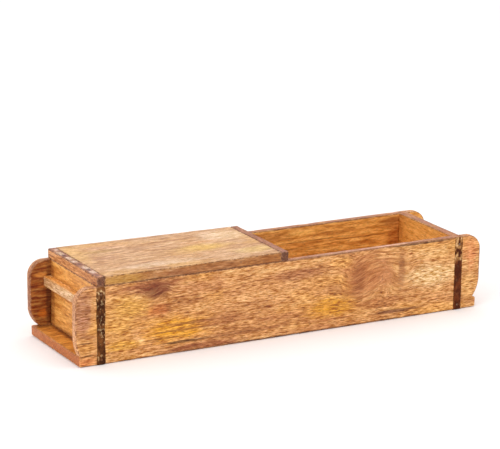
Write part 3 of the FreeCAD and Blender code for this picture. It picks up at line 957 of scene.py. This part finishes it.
def hammered_strap(name, node, seed):
    low, high = node_box(node)
    width = high[0] - low[0]
    length = 2 * (down + quarter) + under
    thick = STRAP_THICKNESS + STRAP_SUNK
    across_lines = grid_lines(0, width, STRAP_STEP, STRAP_FINE)
    along_lines = grid_lines(0, length, 1.1, STRAP_FINE)
    depth_lines = grid_lines(-thick, 0, 0.6, 0.3)
    points, faces = skin(across_lines, along_lines, depth_lines)
    depth = np.minimum(points - (0, 0, -thick), (width, length, 0) - points)
    values = {"edge": np.minimum(np.sort(depth, axis=1)[:, 1], FAR_FROM_EDGE)}
    x, along, height = points.T.copy()
    place = np.stack([x, along, np.zeros_like(x)], 1)
    from_middle = x / width * 2 - 1
    only_along = place * (0, 1, 0)
    wider = from_middle * noise(only_along, (1, 9, 1), seed)
    aside = noise(only_along, (1, 34, 1), seed + 1)
    x = x + 0.55 * wider + 0.5 * aside
    facets = 0.30 * noise(place, (6, 5, 1), seed + 2) + 0.18 * noise(place, (2.4, 2.2, 1), seed + 3)
    rounded = -0.45 * np.clip(np.abs(from_middle) - 0.72, 0, 1) / 0.28
    on_face = height > -0.3
    y, z, out_y, out_z = strap_path(along)
    below = np.clip(-out_z, 0, 1)
    lift = np.where(on_face, (facets + rounded) * (1 - below) - 0.05 * below, 0) + height
    turned = np.stack([low[0] + x, y + out_y * lift, np.maximum(z + out_z * lift, 0.0)], 1)
    return as_object(name, turned, faces, values)


print("a strap is", round(2 * (down + quarter) + under), "mm long before it is bent")

# %% [markdown]
# ## Old iron
# The straps are almost black brown, with rust in the hollows and bare metal where the hammer or a
# hand has rubbed the high spots. Noise at the size of the hammer's facets picks the spots. The right
# strap has lost its coat near the top, which the height above the floor decides.

# %% Iron material
NEVER = 1000.0             # a height that no part of the box reaches
IRON_BLOTCHES, IRON_GRAINS, IRON_FACETS = (0.10, 0.10, 0.07), (0.9, 0.9, 0.7), (0.28, 0.28, 0.2)
HOLLOW_SHADE = 0.55        # of the coat's colour, in the hollows
RUBBED_METAL = 0.8         # how metallic a rubbed spot is
IRON_BUMP, IRON_DEPTH = 0.5, 0.0004


def iron(name, seed, coat, rust, bare, pale=(150, 104, 66), bare_from=NEVER, fade=0.0, glints=0.4,
         gloss=0.5):
    """Coated iron. Above bare_from, in millimetres, fade is how much of the coat has gone. glints is
    how many of the rubbed spots are left below that."""
    material = bpy.data.materials.new(name)
    material.use_nodes = True
    tree = material.node_tree
    tree.nodes.clear()
    output = add(tree, "ShaderNodeOutputMaterial")
    place = in_millimetres(tree)
    moved = vector_node(tree, "ADD", place, (seed * 31, seed * 17, seed * 7))
    blotches = stretched(tree, moved, IRON_BLOTCHES, 4.0, 0.65)
    grains = stretched(tree, moved, IRON_GRAINS, 3.0, 0.7)
    facets = stretched(tree, moved, IRON_FACETS, 2.0, 0.5)
    surface = blend(tree, colour(*coat), colour(*rust), remap(tree, blotches, 0.42, 0.66))
    hollow = colour(*(HOLLOW_SHADE * c for c in coat))
    surface = blend(tree, surface, hollow, remap(tree, grains, 0.5, 0.7, 0.0, 0.6))
    on_top, grainy = remap(tree, facets, 0.56, 0.66), remap(tree, grains, 0.35, 0.6)
    rubbed = math_node(tree, "MULTIPLY", on_top, grainy)
    height = add(tree, "ShaderNodeSeparateXYZ", {0: place}).outputs["Z"]
    wavy = math_node(tree, "ADD", height, math_node(tree, "MULTIPLY", blotches, 12.0))
    high = remap(tree, wavy, bare_from, bare_from + 6)
    rubbed = math_node(tree, "MULTIPLY", rubbed, remap(tree, high, 0.0, 1.0, glints, 1.0), True)
    faded = math_node(tree, "MULTIPLY", high, remap(tree, facets, 0.38, 0.56))
    surface = blend(tree, surface, colour(*pale), math_node(tree, "MULTIPLY", faded, fade))
    surface = blend(tree, surface, colour(*bare), math_node(tree, "MULTIPLY", rubbed, 0.85))
    rough = remap(tree, rubbed, 0.0, 1.0, gloss + 0.12, gloss - 0.1)
    relief = {"Height": grains, "Strength": IRON_BUMP, "Distance": IRON_DEPTH}
    normal = add(tree, "ShaderNodeBump", relief).outputs["Normal"]
    metal = math_node(tree, "MULTIPLY", rubbed, RUBBED_METAL)
    finish = {"Base Color": surface, "Roughness": rough, "Metallic": metal, "Normal": normal,
              "Specular IOR Level": 0.08}
    shader = add(tree, "ShaderNodeBsdfPrincipled", finish)
    tree.links.new(shader.outputs[0], output.inputs["Surface"])
    print(name, len(tree.nodes), "nodes")
    return material


left_iron = iron("left_strap_iron", 1.0, (66, 32, 12), (124, 74, 34), (240, 206, 152),
                 bare_from=85.3, fade=0.5, glints=0.5)
right_iron = iron("right_strap_iron", 2.0, (74, 31, 12), (114, 56, 24), (236, 196, 146), (178, 126, 72),
                  bare_from=73.0, fade=0.8, glints=0.08)
for node, material, seed in (("left_strap", left_iron, 91), ("right_strap", right_iron, 97)):
    strap = hammered_strap(f"{node}_band", node, seed)
    finish_piece(strap, material, "box", "strap_iron", node)

# %% [markdown]
# ## The nails
# Every nail shows only its head, a small dome that the hammer has left uneven. One Geometry Nodes
# tree puts a head at each point of a small mesh and turns it to the point's own direction. The points
# come from the CAD nodes: each loose solid of a nail node is one nail, and its head is the end of it
# that lies outermost. The heads in the straps stand proud. The others are driven flush, and those in
# the open faces are stopped with filler, which takes the wood's own finish and hardly shows.

# %% Find the nails
def nail_heads(node):
    """Head centre, direction and radius of each nail in a CAD node, in millimetres."""
    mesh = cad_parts[node].data
    points = np.array([v.co for v in mesh.vertices]) / MM
    keys = np.round(points, 2)
    unique, where = np.unique(keys, axis=0, return_inverse=True)
    where = where.ravel()
    parent = np.arange(len(unique))

    def root(i):
        while parent[i] != i:
            parent[i] = parent[parent[i]]
            i = parent[i]
        return i

    for polygon in mesh.polygons:
        first = root(where[polygon.vertices[0]])
        for other in polygon.vertices[1:]:
            parent[root(where[other])] = first
    groups = np.array([root(i) for i in range(len(unique))])
    heads = []
    for group in np.unique(groups):
        nail = unique[groups == group]
        axis = int(np.argmax(nail.max(0) - nail.min(0)))
        ends = [nail[:, axis].min(), nail[:, axis].max()]
        spread = [np.ptp(nail[np.abs(nail[:, axis] - end) < 0.05], axis=0).max() for end in ends]
        big = int(np.argmax(spread))
        centre = (nail.max(0) + nail.min(0)) / 2
        centre[axis] = ends[big]
        way = np.zeros(3)
        way[axis] = -1 if big == 0 else 1
        heads.append((centre, way, spread[big] / 2))
    return heads


print(len(nail_heads("left_strap_nails")), "nails in the left strap")

# %% [markdown]
# ## One tree for every nail head
# A head could be modelled once and copied by hand, but a node tree does it for any number of points
# and keeps its sizes as named inputs. A ball is pressed flat to a dome, put on each point, turned to
# the point's own "way" and made a little larger or smaller at random. Realize Instances turns the
# copies into real mesh, and noise then dents each one differently.

# %% Geometry Nodes tree: hammered nail heads
HEAD_SEGMENTS, HEAD_RINGS = 20, 12
SMALLEST_HEAD, LARGEST_HEAD = (0.85, 0.85, 0.9), (1.12, 1.12, 1.1)
DENTS_PER_METRE = 900.0


def make_nail_tree():
    tree = bpy.data.node_groups.new("Hammered nail heads", "GeometryNodeTree")
    face = tree.interface
    face.new_socket("Geometry", in_out="INPUT", socket_type="NodeSocketGeometry")
    face.new_socket("Geometry", in_out="OUTPUT", socket_type="NodeSocketGeometry")
    for name, default in (("Head Radius", 0.0017), ("Head Height", 0.0008), ("Unevenness", 0.0004)):
        face.new_socket(name, in_out="INPUT", socket_type="NodeSocketFloat").default_value = default
    face.new_socket("Seed", in_out="INPUT", socket_type="NodeSocketInt").default_value = 3
    face.new_socket("Material", in_out="INPUT", socket_type="NodeSocketMaterial")
    source = tree.nodes.new("NodeGroupInput").outputs
    result = tree.nodes.new("NodeGroupOutput").inputs

    ball_size = {"Segments": HEAD_SEGMENTS, "Rings": HEAD_RINGS, "Radius": source["Head Radius"]}
    ball = add(tree, "GeometryNodeMeshUVSphere", ball_size)
    flat = math_node(tree, "DIVIDE", source["Head Height"], source["Head Radius"])
    scale = add(tree, "ShaderNodeCombineXYZ", {0: 1.0, 1: 1.0, 2: flat}).outputs[0]
    pressed = {"Geometry": ball.outputs["Mesh"], "Scale": scale}
    domes = add(tree, "GeometryNodeTransform", pressed).outputs[0]

    stored = add(tree, "GeometryNodeInputNamedAttribute", {"Name": "way"}, data_type="FLOAT_VECTOR")
    way = stored.outputs["Attribute"]
    turn = add(tree, "FunctionNodeAlignRotationToVector", {"Vector": way}, axis="Z").outputs[0]
    sizes = {"Min": SMALLEST_HEAD, "Max": LARGEST_HEAD, "Seed": source["Seed"]}
    size = add(tree, "FunctionNodeRandomValue", sizes, data_type="FLOAT_VECTOR").outputs[0]
    copies = {"Points": source["Geometry"], "Instance": domes, "Rotation": turn, "Scale": size}
    placed = add(tree, "GeometryNodeInstanceOnPoints", copies).outputs[0]
    real = add(tree, "GeometryNodeRealizeInstances", {0: placed}).outputs[0]

    where = add(tree, "GeometryNodeInputPosition").outputs[0]
    dents = {"Vector": where, "Scale": DENTS_PER_METRE, "Detail": 1.0}
    facets = add(tree, "ShaderNodeTexNoise", dents).outputs["Color"]
    centred = vector_node(tree, "SUBTRACT", facets, (0.5, 0.5, 0.5))
    push = resized(tree, centred, source["Unevenness"])
    dented = add(tree, "GeometryNodeSetPosition", {"Geometry": real, "Offset": push}).outputs[0]
    shading = {"Geometry": dented, "Shade Smooth": True}
    smooth = add(tree, "GeometryNodeSetShadeSmooth", shading).outputs[0]
    finish = {"Geometry": smooth, "Material": source["Material"]}
    painted = add(tree, "GeometryNodeSetMaterial", finish).outputs[0]
    tree.links.new(painted, result["Geometry"])
    print(tree.name, len(tree.nodes), "nodes")
    return tree


strap_nail_iron = iron("strap_nail_iron", 3.0, (92, 62, 44), (120, 74, 44), (206, 190, 170), gloss=0.45)
sunk_nail_iron = iron("sunk_nail_iron", 4.0, (120, 70, 42), (140, 84, 50), (150, 104, 74), gloss=0.6)
nail_tree = make_nail_tree()

# %% [markdown]
# ## Heads on the nails
# Each nail node becomes a mesh of bare points, one at every head, with the direction out of the wood
# stored on the point. The tree's inputs are set by the sockets' identifiers, since a modifier doesn't
# know them by name. The evaluated result is then kept as a plain mesh, because only a plain mesh can
# be exported.

# %% Put the heads on the nails
nail_inputs = {}
for item in nail_tree.interface.items_tree:
    if item.in_out == "INPUT":
        nail_inputs[item.name] = item.identifier


def make_nails(name, node, body, seed, material, height, uneven):
    heads = nail_heads(node)
    mesh = bpy.data.meshes.new(name)
    mesh.from_pydata([tuple(centre * MM) for centre, way, radius in heads], [], [])
    ways = np.array([way for centre, way, radius in heads], np.float32)
    mesh.attributes.new("way", "FLOAT_VECTOR", "POINT").data.foreach_set("vector", ways.ravel())
    holder = bpy.data.objects.new(name, mesh)
    bpy.context.scene.collection.objects.link(holder)
    modifier = holder.modifiers.new("nails", "NODES")
    modifier.node_group = nail_tree
    modifier[nail_inputs["Head Radius"]] = float(heads[0][2] * MM)
    modifier[nail_inputs["Head Height"]] = height
    modifier[nail_inputs["Unevenness"]] = uneven
    modifier[nail_inputs["Material"]] = material
    modifier[nail_inputs["Seed"]] = seed
    bpy.context.view_layer.update()
    evaluated = holder.evaluated_get(bpy.context.evaluated_depsgraph_get())
    baked = bpy.data.meshes.new_from_object(evaluated)
    # a head in a wood's finish shows none of the wood's edge wear
    edge = baked.attributes.new("edge", "FLOAT", "POINT")
    edge.data.foreach_set("value", np.full(len(baked.vertices), FAR_FROM_EDGE, np.float32))
    holder.modifiers.clear()
    holder.data = baked
    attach(holder, body)
    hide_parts(node)
    print(name, len(heads), "nails", len(baked.polygons), "faces")


RAISED, FLUSH = 0.0008, 0.0002         # how far a head stands out of the face, in metres
nail_looks = [
    ("left_strap_nails", "box", strap_nail_iron, RAISED),
    ("right_strap_nails", "box", strap_nail_iron, RAISED),
    ("divider_nails", "box", front_wood, FLUSH),
    ("left_handle_nails", "box", cross_wood, FLUSH),
    ("right_handle_nails", "box", cross_wood, FLUSH),
    ("base_nails", "box", sunk_nail_iron, FLUSH),
    ("lid_batten_nails", "lid", sunk_nail_iron, FLUSH),
]
for seed, (node, body, material, height) in enumerate(nail_looks, 5):
    make_nails(f"{node}_heads", node, body, seed, material, height, height / 2)

# %% [markdown]
# ## The studio
# The box stands on a plain white floor under a bright, even sky, as in a product studio. A soft lamp
# above and one to the left give the faces their slightly different brightness. The floor is large, so
# that its edge stays out of sight.

# %% Floor and light
FLOOR_HALF = 9.0           # metres from the middle of the floor to each edge
FLOOR_COLOUR = (0.93, 0.905, 0.90, 1)
SKY_STRENGTH = 1.07
floor_corners = [(sx * FLOOR_HALF, sy * FLOOR_HALF, 0) for sx, sy in ((-1, -1), (1, -1), (1, 1), (-1, 1))]
floor_mesh = bpy.data.meshes.new("studio_floor")
floor_mesh.from_pydata(floor_corners, [], [(0, 1, 2, 3)])
floor = bpy.data.objects.new("studio_floor", floor_mesh)
bpy.context.scene.collection.objects.link(floor)
floor_material = bpy.data.materials.new("studio_floor")
floor_material.use_nodes = True
floor_shader = floor_material.node_tree.nodes["Principled BSDF"]
floor_shader.inputs["Base Color"].default_value = FLOOR_COLOUR
floor_shader.inputs["Roughness"].default_value = 0.9
floor_shader.inputs["Specular IOR Level"].default_value = 0.1
floor_mesh.materials.append(floor_material)

world = bpy.data.worlds.new("studio")
world.use_nodes = True
sky = world.node_tree.nodes["Background"]
sky.inputs["Color"].default_value = (1.0, 1.0, 1.0, 1)
sky.inputs["Strength"].default_value = SKY_STRENGTH
bpy.context.scene.world = world


def soft_lamp(name, place, target, size, power):
    data = bpy.data.lights.new(name, "AREA")
    data.shape = "SQUARE"
    data.size = size
    data.energy = power
    lamp = bpy.data.objects.new(name, data)
    lamp.location = place
    direction = np.array(target, float) - place
    lamp.rotation_euler = Vector(direction).to_track_quat("-Z", "Y").to_euler()
    bpy.context.scene.collection.objects.link(lamp)
    print(name, power, "W")


soft_lamp("top_lamp", (0.2, -0.3, 2.4), (0, 0, 0), 2.0, 10)
soft_lamp("left_lamp", (-2.2, -1.2, 1.3), (0, 0, 0.05), 1.4, 16)

# %% [markdown]
# ## The camera
# A long lens from three metres away keeps the box's long edges nearly parallel. The camera is placed
# by where it looks, how far off it is and two angles: from the left of straight ahead, and from a
# little above. A small roll is left in, as of a camera held by hand.

# %% Camera
AZIMUTH, ELEVATION, ROLL = math.radians(-28.908), math.radians(15.247), math.radians(0.832)
TARGET = np.array([-0.0155, -0.002, 0.1346])
DISTANCE = 3.1534
LENS, SENSOR = 173.43, 36.0            # both in millimetres
camera_data = bpy.data.cameras.new("camera")
camera_data.lens = LENS
camera_data.sensor_width = SENSOR
camera = bpy.data.objects.new("camera", camera_data)
bpy.context.scene.collection.objects.link(camera)
level_part = math.cos(ELEVATION)
away = np.array([math.sin(AZIMUTH) * level_part, -math.cos(AZIMUTH) * level_part, math.sin(ELEVATION)])
level = Euler((math.pi / 2 - ELEVATION, 0, AZIMUTH), "XYZ").to_matrix()
turned = (level @ Matrix.Rotation(ROLL, 3, "Z")).to_4x4()
turned.translation = TARGET + away * DISTANCE
camera.matrix_world = turned
bpy.context.scene.camera = camera
bpy.context.scene.view_settings.view_transform = "Standard"
print("camera at", tuple(round(float(value), 3) for value in camera.matrix_world.translation))
